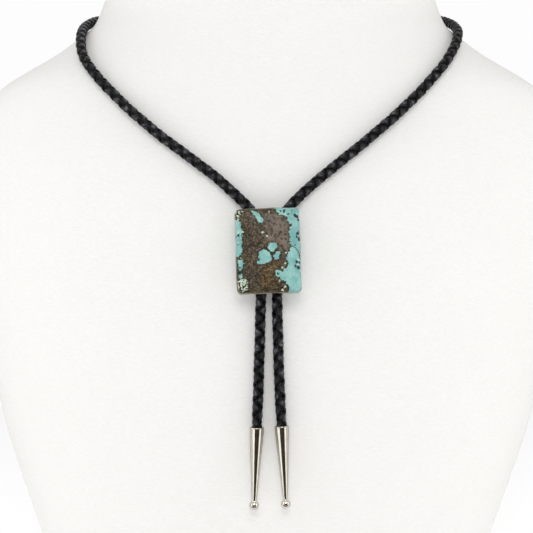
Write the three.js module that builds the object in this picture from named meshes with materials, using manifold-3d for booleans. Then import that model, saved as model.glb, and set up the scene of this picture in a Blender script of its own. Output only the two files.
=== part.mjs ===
// Bolo tie on a neck bust, in millimetres.
// +X is the viewer's right, +Y points away from the viewer, and +Z is up, from the middle of the base.
// A braided leather cord goes once round the neck, both of its ends run down through a slide on the chest,
// and each end is held in a metal tip.

import * as THREE from "three";
import { mergeVertices } from "three/addons/utils/BufferGeometryUtils.js";
import Module from "manifold-3d";

// The bust
const BUST_HEIGHT = 352;
const BUST_HALF_WIDTH = 141;
const CHEST_DEPTH = 75; // from the line y = 0 to the chest's furthest front
const BACK_DEPTH = 86; // from the same line to the upper back
const BUST_LEAN = 2.6; // how far the neck's top stands to the right of the base's middle
const BUST_SIDES = 56;
const STEPS_BETWEEN_SECTIONS = 2;

// The cord
const CORD_DIAMETER = 4.5;
const CORD_SIDES = 10;
const CORD_STEP = 9.7;
const CORD_IN_TIP = 2.6; // how deep an end sits in its tip

// Clearances
const CORD_CLEARANCE = 0.3; // round the cord, in the clip and in the tips
const REST_GAP = 0.3; // between a piece and what it lies against

// The slide: a clip with two channels for the cord, and the stone in front of it
const SLIDE_X = 1.5;
const SLIDE_Z = 180.8;
const STONE_WIDTH = 27.3;
const STONE_HEIGHT = 35.6;
const STONE_THICKNESS = 6.6;
const STONE_CORNER_RADIUS = 2.2;
const STONE_END_BULGE = 0.4; // how far the middle of each short end stands out
const STONE_ROLL = THREE.MathUtils.degToRad(-1.5);
const STONE_OFFSET = -0.4; // the stone is glued on a little to the left of the clip's middle
const CHANNEL_SPACING = 6.4;
const CHANNEL_WALL = 0.75;
const CHANNEL_LENGTH = 12;
const CHANNEL_DROP = 2; // the channels' middle below the stone's
const CHANNEL_SIDES = 24;
const PLATE_WIDTH = 15;
const PLATE_HEIGHT = 24;
const PLATE_THICKNESS = 0.9;
const PLATE_CORNER_RADIUS = 3;
const PLATE_OVERLAP = 0.5; // how far the channels are soldered into the plate
const CORNER_STEPS = 5;
const EDGE_STEPS = 8;
const CORNER_LIMIT = 0.4; // the largest share of a rectangle's width that a corner's radius takes

// The tips, which taper from the cord's width to a ball
const TIP_LENGTH = 34.9; // with the ball
const TIP_END_DIAMETER = 2.2;
const TIP_BALL_DIAMETER = 4;
const TIP_WALL = 0.35;
const TIP_BORE_DEPTH = 12;
const TIP_LIP_HEIGHT = 1;
const TIP_LIP_PROUD = 0.06;
const TIP_SIDES = 32;
const TIP_BALL_STEPS = 9;

const MERGE_DISTANCE = 1e-4;

const leatherette = new THREE.MeshStandardMaterial({ color: 0xf1f0ec, roughness: 0.75, metalness: 0 });
const leather = new THREE.MeshStandardMaterial({ color: 0x17171a, roughness: 0.45, metalness: 0 });
const turquoise = new THREE.MeshStandardMaterial({ color: 0x5d5743, roughness: 0.3, metalness: 0 });
const polishedMetal = new THREE.MeshStandardMaterial({ color: 0xd8d5cc, roughness: 0.15, metalness: 1 });

// The bust's level sections, from the base up. height is a share of BUST_HEIGHT, width of BUST_HALF_WIDTH,
// front of CHEST_DEPTH, and back and widest of BACK_DEPTH. widest says how far back the section is widest,
// and squareness is the exponent of its superellipse.
const BUST_SECTIONS = [
  { height: 0, width: 0.628, front: 0.775, back: 0.68, widest: 0, squareness: 2.35 },
  { height: 0.007, width: 0.648, front: 0.805, back: 0.7, widest: 0, squareness: 2.35 },
  { height: 0.06, width: 0.699, front: 0.87, back: 0.71, widest: -0.01, squareness: 2.3 },
  { height: 0.145, width: 0.769, front: 0.94, back: 0.735, widest: -0.02, squareness: 2.25 },
  { height: 0.233, width: 0.847, front: 0.98, back: 0.765, widest: -0.03, squareness: 2.2 },
  { height: 0.32, width: 0.914, front: 0.998, back: 0.805, widest: -0.03, squareness: 2.15 },
  { height: 0.42, width: 0.961, front: 1, back: 0.855, widest: -0.02, squareness: 2.1 },
  { height: 0.53, width: 0.991, front: 0.97, back: 0.915, widest: 0, squareness: 2.1 },
  { height: 0.625, width: 1.003, front: 0.9, back: 0.965, widest: 0.03, squareness: 2.05 },
  { height: 0.685, width: 0.994, front: 0.815, back: 0.99, widest: 0.05, squareness: 2 },
  { height: 0.72, width: 0.969, front: 0.77, back: 1, widest: 0.07, squareness: 2 },
  { height: 0.744, width: 0.928, front: 0.735, back: 1, widest: 0.09, squareness: 2 },
  { height: 0.767, width: 0.84, front: 0.705, back: 0.99, widest: 0.115, squareness: 2 },
  { height: 0.787, width: 0.757, front: 0.68, back: 0.97, widest: 0.135, squareness: 2 },
  { height: 0.807, width: 0.692, front: 0.66, back: 0.945, widest: 0.155, squareness: 2 },
  { height: 0.828, width: 0.627, front: 0.645, back: 0.915, widest: 0.175, squareness: 2 },
  { height: 0.85, width: 0.6, front: 0.632, back: 0.875, widest: 0.185, squareness: 2 },
  { height: 0.873, width: 0.58, front: 0.622, back: 0.835, widest: 0.185, squareness: 2 },
  { height: 0.905, width: 0.549, front: 0.612, back: 0.79, widest: 0.175, squareness: 2 },
  { height: 0.943, width: 0.533, front: 0.607, back: 0.76, widest: 0.165, squareness: 2 },
  { height: 0.982, width: 0.527, front: 0.602, back: 0.75, widest: 0.16, squareness: 2 },
  { height: 0.996, width: 0.512, front: 0.578, back: 0.73, widest: 0.16, squareness: 2 },
  { height: 1, width: 0.485, front: 0.538, back: 0.695, widest: 0.16, squareness: 2 },
];

// The stone's levels from its flat back to its crown. rise is a share of STONE_THICKNESS and inset of
// STONE_WIDTH.
const STONE_LEVELS = [
  { rise: 0, inset: 0.014 },
  { rise: 0.06, inset: 0 },
  { rise: 0.48, inset: 0 },
  { rise: 0.66, inset: 0.011 },
  { rise: 0.8, inset: 0.037 },
  { rise: 0.9, inset: 0.08 },
  { rise: 0.96, inset: 0.15 },
  { rise: 0.99, inset: 0.25 },
  { rise: 1, inset: 0.36 },
];

// The middle of the cord, from the left tip up through the slide, round the neck and down to the right tip.
const CORD_ROUTE = [
  { x: -3.7, y: -78.3, z: 104.2 },
  { x: -2.95, y: -77.9, z: 125 },
  { x: -1.8, y: -78, z: 168 },
  { x: -1.7, y: -76.9, z: 181 },
  { x: -1.7, y: -76.1, z: 190 },
  { x: -3.2, y: -75.4, z: 195 },
  { x: -7.9, y: -73.8, z: 200.8 },
  { x: -19.7, y: -70.9, z: 212 },
  { x: -28.9, y: -68.8, z: 219.3 },
  { x: -47.6, y: -62.4, z: 233.5 },
  { x: -64.9, y: -53.8, z: 249 },
  { x: -79.2, y: -43.1, z: 264.8 },
  { x: -84.4, y: -33.3, z: 273.7 },
  { x: -86.9, y: -19.4, z: 283.6 },
  { x: -87.6, y: -3.3, z: 290.4 },
  { x: -86.3, y: 13, z: 296.1 },
  { x: -83.4, y: 27.1, z: 300 },
  { x: -70.6, y: 48.5, z: 302.8 },
  { x: -41.1, y: 67.6, z: 304.4 },
  { x: 2.2, y: 75.5, z: 305.3 },
  { x: 45.5, y: 67.6, z: 304.4 },
  { x: 75, y: 48.5, z: 302.8 },
  { x: 87.8, y: 27.1, z: 300 },
  { x: 90.7, y: 13, z: 296.1 },
  { x: 92.1, y: -3.3, z: 290.4 },
  { x: 90.4, y: -20.4, z: 283.4 },
  { x: 85.4, y: -35.2, z: 273.4 },
  { x: 79.3, y: -44.4, z: 264.7 },
  { x: 64.9, y: -54.8, z: 248.8 },
  { x: 48.5, y: -62.8, z: 233.7 },
  { x: 31.2, y: -68.9, z: 219.3 },
  { x: 22.3, y: -70.9, z: 212 },
  { x: 10.5, y: -73.8, z: 200.8 },
  { x: 6.2, y: -75.4, z: 195 },
  { x: 4.7, y: -76.1, z: 190 },
  { x: 4.7, y: -76.9, z: 181 },
  { x: 4.8, y: -78, z: 168 },
  { x: 5.95, y: -77.9, z: 125 },
  { x: 7, y: -78.3, z: 104.8 },
];

const wasm = await Module();
wasm.setup();

// A closed surface through rings of points that all have the same count, with a flat cap on each end ring.
function loft(rings) {
  const sides = rings[0].length;
  const points = rings.flat();
  const faces = [];
  for (let low = 0; low < points.length - sides; low += sides) {
    for (let i = 0; i < sides; i++) {
      const next = (i + 1) % sides;
      const high = low + sides;
      faces.push(low + i, low + next, high + next, low + i, high + next, high + i);
    }
  }
  const lastRing = points.length - sides;
  for (const [ring, first] of [[rings[0], 0], [rings.at(-1), lastRing]]) {
    const middle = ring.reduce((sum, point) => sum.add(point), new THREE.Vector3()).divideScalar(sides);
    const centre = points.push(middle) - 1;
    for (let i = 0; i < sides; i++) {
      const edge = [first + i, first + ((i + 1) % sides)];
      faces.push(centre, ...(first === 0 ? edge.reverse() : edge));
    }
  }
  const geometry = new THREE.BufferGeometry().setFromPoints(points).setIndex(faces);
  geometry.computeVertexNormals();
  return geometry;
}

// The value of a column of BUST_SECTIONS on a smooth curve through its rows, at a place such as 2.5,
// which is halfway between rows 2 and 3.
function column(name, place) {
  const points = BUST_SECTIONS.map((section, row) => new THREE.Vector2(row, section[name]));
  return new THREE.SplineCurve(points).getPoint(place / (points.length - 1)).y;
}

// How far in front of the line y = 0 the bust's middle is at a height.
function chestFront(z) {
  let low = 0;
  let high = BUST_SECTIONS.length - 1;
  while (high - low > MERGE_DISTANCE) {
    const middle = (low + high) / 2;
    if (column("height", middle) * BUST_HEIGHT < z) low = middle;
    else high = middle;
  }
  return column("front", low) * CHEST_DEPTH;
}

function bustRing(place) {
  const height = column("height", place);
  const halfWidth = column("width", place) * BUST_HALF_WIDTH;
  const widest = column("widest", place) * BACK_DEPTH;
  const frontDepth = column("front", place) * CHEST_DEPTH + widest;
  const backDepth = column("back", place) * BACK_DEPTH - widest;
  const power = 2 / column("squareness", place);
  return Array.from({ length: BUST_SIDES }, (_, i) => {
    const across = Math.cos((2 * Math.PI * i) / BUST_SIDES);
    const back = Math.sin((2 * Math.PI * i) / BUST_SIDES);
    const depth = back < 0 ? frontDepth : backDepth;
    return new THREE.Vector3(
      halfWidth * Math.sign(across) * Math.abs(across) ** power + BUST_LEAN * height,
      widest + depth * Math.sign(back) * Math.abs(back) ** power,
      height * BUST_HEIGHT,
    );
  });
}

function makeBust() {
  const steps = (BUST_SECTIONS.length - 1) * STEPS_BETWEEN_SECTIONS;
  const rings = Array.from({ length: steps + 1 }, (_, i) => bustRing(i / STEPS_BETWEEN_SECTIONS));
  return new THREE.Mesh(loft(rings), leatherette);
}

function makeCord() {
  const routePoints = CORD_ROUTE.map(({ x, y, z }) => new THREE.Vector3(x, y, z));
  const route = new THREE.CatmullRomCurve3(routePoints, false, "centripetal");
  const section = new THREE.Shape();
  section.absarc(0, 0, CORD_DIAMETER / 2, 0, 2 * Math.PI);
  const geometry = new THREE.ExtrudeGeometry(section, {
    curveSegments: CORD_SIDES,
    steps: Math.round(route.getLength() / CORD_STEP),
    extrudePath: route,
  });
  return new THREE.Mesh(geometry, leather);
}

// Points round a rectangle with round corners, with steps along its straight edges too.
function roundedRectangle(width, height, cornerRadius) {
  const radius = Math.min(cornerRadius, CORNER_LIMIT * width, CORNER_LIMIT * height);
  const corners = [[1, 1], [-1, 1], [-1, -1], [1, -1]].map(([right, top], corner) =>
    Array.from({ length: CORNER_STEPS + 1 }, (_, i) => {
      const angle = ((corner + i / CORNER_STEPS) * Math.PI) / 2;
      return new THREE.Vector2(
        right * (width / 2 - radius) + radius * Math.cos(angle),
        top * (height / 2 - radius) + radius * Math.sin(angle),
      );
    }),
  );
  return corners.flatMap((corner, i) => {
    const next = corners[(i + 1) % corners.length][0];
    const edge = [];
    for (let step = 1; step < EDGE_STEPS; step++) {
      edge.push(corner.at(-1).clone().lerp(next, step / EDGE_STEPS));
    }
    return [...corner, ...edge];
  });
}

// The stone lies with its back at y = 0 and faces along -Y.
function makeStone() {
  const bulge = (x, z) => STONE_END_BULGE * (1 - ((2 * x) / STONE_WIDTH) ** 2) * ((2 * z) / STONE_HEIGHT);
  const rings = STONE_LEVELS.map(({ rise, inset }) => {
    const margin = 2 * inset * STONE_WIDTH;
    return roundedRectangle(STONE_WIDTH - margin, STONE_HEIGHT - margin, STONE_CORNER_RADIUS).map(
      ({ x, y: z }) => new THREE.Vector3(x, -rise * STONE_THICKNESS, z + bulge(x, z)),
    );
  });
  return new THREE.Mesh(loft(rings), turquoise);
}

// A closed geometry as a solid that can be joined and cut.
function toSolid(geometry) {
  const bare = geometry.clone().deleteAttribute("normal").deleteAttribute("uv");
  const merged = mergeVertices(bare, MERGE_DISTANCE);
  const { array: vertProperties } = merged.getAttribute("position");
  const triVerts = new Uint32Array(merged.index.array);
  return new wasm.Manifold(new wasm.Mesh({ numProp: 3, vertProperties, triVerts }));
}

function toGeometry(solid) {
  const { vertProperties, triVerts } = solid.getMesh();
  const geometry = new THREE.BufferGeometry();
  geometry.setAttribute("position", new THREE.BufferAttribute(vertProperties, 3));
  geometry.setIndex(new THREE.BufferAttribute(triVerts, 1));
  geometry.computeVertexNormals();
  return geometry;
}

const channelBore = CORD_DIAMETER / 2 + CORD_CLEARANCE;
const channelRadius = channelBore + CHANNEL_WALL;
const plateBack = 2 * channelRadius - PLATE_OVERLAP;
const stoneBack = plateBack + PLATE_THICKNESS + REST_GAP;

// The clip lies with its channels' backs at y = 0. Both channels are bored after they are joined.
function makeClip() {
  const shape = new THREE.Shape(roundedRectangle(PLATE_WIDTH, PLATE_HEIGHT, PLATE_CORNER_RADIUS));
  const plate = new THREE.ExtrudeGeometry(shape, { depth: PLATE_THICKNESS, bevelEnabled: false });
  const channels = (radius, length) =>
    [-1, 1].map((side) => {
      const channel = new THREE.CylinderGeometry(radius, radius, length, CHANNEL_SIDES);
      channel.rotateX(Math.PI / 2);
      return toSolid(channel.translate((side * CHANNEL_SPACING) / 2, -channelRadius, -CHANNEL_DROP));
    });
  let clip = toSolid(plate.rotateX(Math.PI / 2).translate(0, -plateBack, 0));
  for (const channel of channels(channelRadius, CHANNEL_LENGTH)) clip = clip.add(channel);
  for (const bore of channels(channelBore, CHANNEL_LENGTH + STONE_HEIGHT)) clip = clip.subtract(bore);
  return new THREE.Mesh(toGeometry(clip), polishedMetal);
}

// The slide lies on the chest, pitched with it.
function makeSlide() {
  const low = SLIDE_Z - CHANNEL_DROP - CHANNEL_LENGTH / 2;
  const high = low + CHANNEL_LENGTH;
  const slide = new THREE.Group();
  slide.position.set(SLIDE_X, -chestFront(SLIDE_Z) - REST_GAP, SLIDE_Z);
  slide.rotation.x = Math.atan2(chestFront(high) - chestFront(low), CHANNEL_LENGTH);
  const clip = makeClip();
  clip.name = "slide_clip";
  const stone = makeStone();
  stone.name = "slide_stone";
  stone.position.set(STONE_OFFSET, -stoneBack, 0);
  stone.rotation.y = STONE_ROLL;
  slide.add(clip, stone);
  return slide;
}

// A hollow cone with a rolled lip at its mouth and a ball on its end, along -Y from the middle of the mouth.
// Its wall clears the cord's end at the depth that the cord goes in.
function makeTip() {
  const end = TIP_END_DIAMETER / 2;
  const ball = TIP_BALL_DIAMETER / 2;
  const ballDepth = TIP_LENGTH - ball;
  const coneLength = ballDepth - Math.sqrt(ball ** 2 - end ** 2);
  const atCordEnd = CORD_DIAMETER / 2 + CORD_CLEARANCE + TIP_WALL;
  const taper = (atCordEnd - end) / (coneLength - CORD_IN_TIP);
  const outside = (depth) => end + taper * (coneLength - depth);
  const profile = [
    [0, TIP_BORE_DEPTH],
    [outside(TIP_BORE_DEPTH) - TIP_WALL, TIP_BORE_DEPTH],
    [outside(0) - TIP_WALL, 0],
    [outside(0) - TIP_LIP_PROUD, 0],
    [outside(0) + TIP_LIP_PROUD, TIP_LIP_HEIGHT / 3],
    [outside(0) + TIP_LIP_PROUD, (2 * TIP_LIP_HEIGHT) / 3],
    [outside(TIP_LIP_HEIGHT), TIP_LIP_HEIGHT],
    [end, coneLength],
  ];
  const neckAngle = Math.asin(end / ball);
  for (let i = 1; i < TIP_BALL_STEPS; i++) {
    const angle = neckAngle + ((Math.PI - neckAngle) * i) / TIP_BALL_STEPS;
    profile.push([ball * Math.sin(angle), ballDepth - ball * Math.cos(angle)]);
  }
  profile.push([0, TIP_LENGTH]);
  const points = profile.map(([radius, depth]) => new THREE.Vector2(radius, -depth)).reverse();
  return new THREE.Mesh(new THREE.LatheGeometry(points, TIP_SIDES), polishedMetal);
}

// Sets a tip on the cord's end, in line with its last stretch.
function placeTip(tip, lastPoint, pointBefore) {
  const end = new THREE.Vector3(lastPoint.x, lastPoint.y, lastPoint.z);
  const before = new THREE.Vector3(pointBefore.x, pointBefore.y, pointBefore.z);
  const direction = end.clone().sub(before).normalize();
  tip.position.copy(end).addScaledVector(direction, -CORD_IN_TIP);
  tip.quaternion.setFromUnitVectors(new THREE.Vector3(0, -1, 0), direction);
  return tip;
}

const bust = makeBust();
bust.name = "neck_bust";
const cord = makeCord();
cord.name = "bolo_cord";
const leftTip = placeTip(makeTip(), CORD_ROUTE[0], CORD_ROUTE[1]);
leftTip.name = "tip_left";
const rightTip = placeTip(makeTip(), CORD_ROUTE.at(-1), CORD_ROUTE.at(-2));
rightTip.name = "tip_right";

const boloTie = new THREE.Group();
boloTie.add(bust, cord, makeSlide(), leftTip, rightTip);

export default boloTie;
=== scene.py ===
import math

import bmesh
import bpy
import numpy as np
from bpy.props import FloatProperty, FloatVectorProperty, PointerProperty
from mathutils import Color, Matrix, Vector
from mathutils.geometry import interpolate_bezier


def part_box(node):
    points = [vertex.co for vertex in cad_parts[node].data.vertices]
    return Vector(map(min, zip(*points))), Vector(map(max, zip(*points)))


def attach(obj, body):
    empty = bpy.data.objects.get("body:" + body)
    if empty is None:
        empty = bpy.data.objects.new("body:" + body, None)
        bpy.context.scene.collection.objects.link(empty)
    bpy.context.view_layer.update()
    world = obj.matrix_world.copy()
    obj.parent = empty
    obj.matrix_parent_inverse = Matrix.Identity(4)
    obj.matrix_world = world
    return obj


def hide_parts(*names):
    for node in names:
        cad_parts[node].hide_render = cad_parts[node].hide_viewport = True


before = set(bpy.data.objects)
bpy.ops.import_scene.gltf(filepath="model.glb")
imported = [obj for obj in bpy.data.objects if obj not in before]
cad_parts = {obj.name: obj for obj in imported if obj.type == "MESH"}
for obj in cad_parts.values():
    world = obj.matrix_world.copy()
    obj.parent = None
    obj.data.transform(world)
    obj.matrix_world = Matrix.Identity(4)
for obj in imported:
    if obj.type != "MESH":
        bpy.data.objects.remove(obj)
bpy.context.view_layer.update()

bl_info = {
    "name": "Bolo Tie on a Neck Bust",
    "version": (1, 0, 0),
    "blender": (4, 5, 0),
    "location": "View3D > Sidebar > Bolo Tie",
    "description": "A braided bolo tie with a turquoise slide and metal tips, on a white leatherette bust",
    "category": "Add Mesh",
}

MM = 0.001
BODY = "root"

# The middle of the cord in metres, from the left tip up through the slide, round the neck and down.
CORD_ROUTE = [
    (-0.0037, -0.0783, 0.1042), (-0.00295, -0.0779, 0.125), (-0.0018, -0.078, 0.168),
    (-0.0017, -0.0769, 0.181), (-0.0017, -0.0761, 0.19), (-0.0032, -0.0754, 0.195),
    (-0.0079, -0.0738, 0.2008), (-0.0197, -0.0709, 0.212), (-0.0289, -0.0688, 0.2193),
    (-0.0476, -0.0624, 0.2335), (-0.0649, -0.0538, 0.249), (-0.0792, -0.0431, 0.2648),
    (-0.0844, -0.0333, 0.2737), (-0.0869, -0.0194, 0.2836), (-0.0876, -0.0033, 0.2904),
    (-0.0863, 0.013, 0.2961), (-0.0834, 0.0271, 0.3), (-0.0706, 0.0485, 0.3028),
    (-0.0411, 0.0676, 0.3044), (0.0022, 0.0755, 0.3053), (0.0455, 0.0676, 0.3044),
    (0.075, 0.0485, 0.3028), (0.0878, 0.0271, 0.3), (0.0907, 0.013, 0.2961),
    (0.0921, -0.0033, 0.2904), (0.0904, -0.0204, 0.2834), (0.0854, -0.0352, 0.2734),
    (0.0793, -0.0444, 0.2647), (0.0649, -0.0548, 0.2488), (0.0485, -0.0628, 0.2337),
    (0.0312, -0.0689, 0.2193), (0.0223, -0.0709, 0.212), (0.0105, -0.0738, 0.2008),
    (0.0062, -0.0754, 0.195), (0.0047, -0.0761, 0.19), (0.0047, -0.0769, 0.181),
    (0.0048, -0.078, 0.168), (0.00595, -0.0779, 0.125), (0.007, -0.0783, 0.1048),
]
CORD_IN_TIP = 2.6 * MM
# Changes of the braid's thickness: the share of it, the distance from the tip's mouth and the reach
DRAWN_IN = (0.08, 2.5 * MM, 3 * MM)
FLARE = (0.07, 0.25 * MM, 0.45 * MM)
SQUEEZE = 0.12  # how much thinner the braid is inside the tip
SQUEEZE_REACH = 0.5 * MM
ROUTE_STEPS = 60  # line points to each stretch of the route
LINE_STEP = 0.25 * MM
STEPS_PER_TURN = 20
STRAND_SIDES = 12
STRAND_SQUARENESS = 0.68  # 1 for an oval section, 0 for a square one
STRAND_WAVE = 0.3  # how far a strand swings out and in, as a share of its thickness
OVER_STEEPNESS = 1.6  # how quickly a strand dives from over to under
WOBBLES = [(0.05 * MM, 0.37, 5), (0.04 * MM, 1.31, 3)]  # uneven strands: height, waves to a turn, shift
BRAID_PHASE = math.pi / 2
STRANDS = [(1, 0.0), (1, math.pi), (-1, BRAID_PHASE), (-1, math.pi + BRAID_PHASE)]  # direction and phase
TWISTS = [(0.1, 143 * MM, 0.4), (0.08, 59 * MM, 2.1)]  # the lie of the braid: angle, wavelength, phase
FRONT = Vector((0, -1, 0))
FLAT_LIE = 0.05  # how strongly the braid turns a flat side to the front, at each step of its line
GRAIN_DRAW = 4  # how many times longer than wide the leather's streaks are

# The stone's pattern, in millimetres from its middle, x to the right and z up as seen from the front.
TURQUOISE_PATCHES = {
    "right field": [
        (3.3, 19), (3.4, 17.6), (3.6, 16.3), (5.2, 14.9), (7.9, 14.0), (8.4, 12.8), (9.0, 11.4),
        (10.2, 10.5), (9.4, 9.3), (9.1, 8.2), (9.1, 6.1), (9.4, 3.9), (9.6, 1.8), (10.0, 1.4),
        (9.0, 0.2), (8.2, -2.0), (7.5, -3.3), (8.2, -5.4), (8.2, -7.1), (6.3, -8.7), (5.4, -9.3),
        (4.4, -8.5), (3.1, -8.4), (2.9, -10.4), (3.7, -11.1), (4.7, -11.9), (6.0, -13.0), (7.6, -14.3),
        (8.4, -15.6), (8.2, -17), (7.4, -19), (18, -19), (18, 19),
    ],
    "top blade": [
        (-7.1, 16.7), (-5.2, 16.8), (-3.6, 15.5), (-1.8, 13.6), (-1.6, 11.7), (-2.8, 11.3),
        (-4.2, 12.8), (-5.2, 14.7),
    ],
    "left strip": [
        (-18, 13), (-12.0, 13.2), (-11.4, 12.3), (-10.9, 9.8), (-10.6, 6.1), (-10.8, 3.9), (-11.0, 2.3),
        (-10.8, 0.4), (-11.2, -1.7), (-12.8, -2.4), (-18, -2.4),
    ],
    "left nugget": [
        (-12.9, -4.4), (-12.2, -3.6), (-10.9, -3.7), (-10.2, -5.4), (-10.8, -7.6), (-12.2, -8.7),
    ],
    "left chip": [(-12.5, -9.5), (-11.1, -9.7), (-10.7, -11.5), (-11.8, -12.4), (-12.4, -11.6)],
    "top nugget": [(-0.8, 1.1), (0.9, 2.9), (3.3, 3.0), (4.0, 2.1), (3.3, 0.2), (2.0, -0.9), (0.5, -0.3)],
    "middle nugget": [
        (-3.6, -0.3), (-1.8, 0.3), (-0.4, -0.1), (0.9, -1.7), (1.6, -3.3), (1.2, -4.6), (-1.2, -5.7),
        (-4.4, -5.9), (-4.7, -4.9), (-3.6, -3.8), (-4.3, -3.0), (-4.0, -2.0),
    ],
    "small nugget": [
        (2.2, -2.5), (3.0, -0.9), (4.7, -0.6), (5.1, -1.4), (4.4, -3.6), (3.3, -4.0), (2.4, -3.5),
    ],
}
VEINS = [
    [(10.0, 1.5), (11.6, 0.6), (12.5, -0.7), (13.0, -1.6), (13.3, -4.0)],
    [(-1.2, 0.6), (0.3, -0.5), (1.9, -1.6), (3.2, -0.6), (4.3, 0.4)],
    [(1.9, -1.6), (1.8, -3.0), (1.9, -4.6), (3.2, -4.4), (4.9, -3.8), (5.4, -2.2)],
    [(-3.2, -16.2), (-1.0, -17.0), (2.6, -16.4), (5.6, -15.8), (7.0, -14.6)],
    [(-13.4, 5.6), (-12.3, 6.4), (-11.7, 7.5)],
    [(-12.8, -9.0), (-11.6, -8.6), (-10.9, -8.0)],
]
# Round spots as x, z and radius
DARK_SPOTS = [
    (11.6, 14.4, 0.6), (12.5, 13.6, 0.7), (13.0, 12.4, 0.4), (9.8, 10.1, 0.4), (12.6, 6.8, 0.7),
    (13.1, 4.2, 0.7), (12.0, 5.2, 0.35), (11.9, -5.2, 0.6), (11.2, -7.2, 0.5), (12.6, -7.6, 0.7),
    (12.9, -2.4, 0.4), (13.0, -5.6, 0.5), (-13.0, 14.1, 0.4), (-12.2, 6.5, 0.5), (-12.6, 2.6, 0.3),
    (-11.9, -7.0, 0.4), (-12.2, -9.2, 0.55), (4.4, 2.2, 0.35), (-4.2, -1.9, 0.3), (-4.5, -3.3, 0.35),
    (7.2, 16.2, 0.6), (5.6, 16.4, 0.4), (8.8, 15.0, 0.4), (-12.6, 16.4, 0.4), (-10.9, 16.0, 0.3),
    (5.2, -11.0, 0.25), (3.8, -9.9, 0.35), (10.4, 16.6, 0.3), (11.4, 1.8, 0.3),
]
PALE_SPOTS = [
    (-2.0, 7.4, 0.7), (-0.3, 5.9, 0.35), (0.7, 16.0, 0.4), (7.4, -1.4, 0.45), (4.4, -12.8, 0.35),
    (6.6, -15.4, 0.65), (5.5, -16.8, 0.5), (5.9, -14.4, 0.35), (5.7, -7.3, 0.5), (7.0, -5.7, 0.45),
    (12.4, -4.2, 0.5), (13.2, -8.9, 0.5), (-12.0, 7.6, 0.6), (-12.4, 3.6, 0.4), (-11.8, -6.0, 0.4),
    (12.2, -6.4, 0.4), (-10.2, 7.8, 0.4), (-11.3, 6.9, 0.5), (-3.4, 16.4, 0.45), (-10.5, 16.6, 0.4),
    (-12.3, 12.9, 0.4), (6.2, 15.6, 0.4), (4.8, 16.8, 0.5), (-11.4, -3.0, 0.25),
]
# Soft zones of colour in the matrix, and of painted sheen for the purple-grey ones, as x, z, half-width and
# half-height
GOLDEN_ZONES = [(-0.9, -12.0, 3.6, 3.6), (0.6, -8.0, 3.4, 2.2), (3.4, -6.2, 2.2, 1.6)]
# A painted sheen: where the domed crown catches the soft light, a lighter purple-grey is painted on the
# matrix.
PAINTED_SHEEN_ZONES = [(4.6, 10.0, 4.4, 4.6), (6.6, 4.0, 2.4, 4.4), (1.6, 5.4, 2.6, 2.0)]
GREY_ZONES = [(-6.2, -12.6, 2.4, 3.4), (-4.6, -15.6, 2.6, 1.4)]
SPECKLED_ZONES = [(-10.8, -14.4, 2.2, 3.4), (-12.6, 15.6, 1.4, 2.0)]

STONE_ROLL = math.radians(-1.5)
STONE_GRID = 0.16 * MM  # the size of one face of its crown
STONE_FLAT_RISE = 0.48  # the share of the thickness at which the crown starts
STONE_CROWN_REACH = 9.8 * MM  # how far in from the outline the crown still rises
STONE_CROWN_POWER = 4  # how quickly it flattens: 2 for a quarter of an ellipse
STONE_CORNER_SPREAD = 0.8  # how much rounder the corners grow with each step inwards
STONE_BACK_BEVEL = 0.4 * MM
STONE_SIDE_STEPS = 9
UNDERCUT = 0.05 * MM  # how far the softer matrix is worn below the turquoise
CORNER_LOSS = 0.15  # how much of the roll's growth of the box the round corners take back
# The swells of its hand-ground outline: height, length over 2 pi and start
SIDE_SWELLS = [(0.10 * MM, 3.1 * MM, 0.5), (0.06 * MM, 1.4 * MM, 0)]
END_SWELLS = [(0.16 * MM, 4.2 * MM, 1.2), (0.06 * MM, 1.7 * MM, 0)]
PATCH_CORNER_CUT = 0.2  # the share of a side that each cut corner takes
PATCH_EDGE = 0.3  # in millimetres, how wide the step at a patch's edge is
HALVINGS = 18  # how often the search for a point's distance from the outline halves its range

SPIN_STEPS = 64
MERGE_DISTANCE = 0.001 * MM


def paint(red, green, blue):
    """A colour given as 0 to 255 on a screen, in the linear values that shaders take."""
    return tuple(Color((red / 255, green / 255, blue / 255)).from_srgb_to_scene_linear())


def number(name, description, default, **more):
    return FloatProperty(name=name, description=description, default=default, min=0, **more)


def size(name, description, default):
    return number(name, description, default, unit="LENGTH", precision=5)


def power(name, description, default):
    return number(name, description, default, unit="POWER")


def share(name, description, default):
    return number(name, description, default, max=1, subtype="FACTOR")


def colour(name, description, default):
    return FloatVectorProperty(
        name=name, description=description, default=paint(*default), size=3, min=0, max=1, subtype="COLOR"
    )


class StageSettings(bpy.types.PropertyGroup):
    """The camera, the lights and the floor."""

    camera_height: size("Camera height", "Height of the camera above the floor", 175 * MM)
    camera_distance: size("Camera distance", "How far in front of the origin the camera stands", 607.5 * MM)
    camera_side: size("Camera side step", "How far to the right of the origin the camera stands", 0.45 * MM)
    lens: number("Lens", "Focal length", 84.33, unit="CAMERA", subtype="DISTANCE_CAMERA")
    sky: number("Sky strength", "Strength of the even white light", 0.68)
    front_power: power("Front softbox power", "Power of the softbox above the camera", 3.5)
    side_power: power("Side softbox power", "Power of each side softbox", 3.2)
    backdrop_colour: colour("Backdrop colour", "Colour of the wall behind", (253, 253, 253))
    floor_colour: colour("Floor colour", "Colour of the floor", (252, 252, 252))
    floor_glow: share("Floor glow", "How much the floor, lit from below, shines of itself", 0.2)


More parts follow.
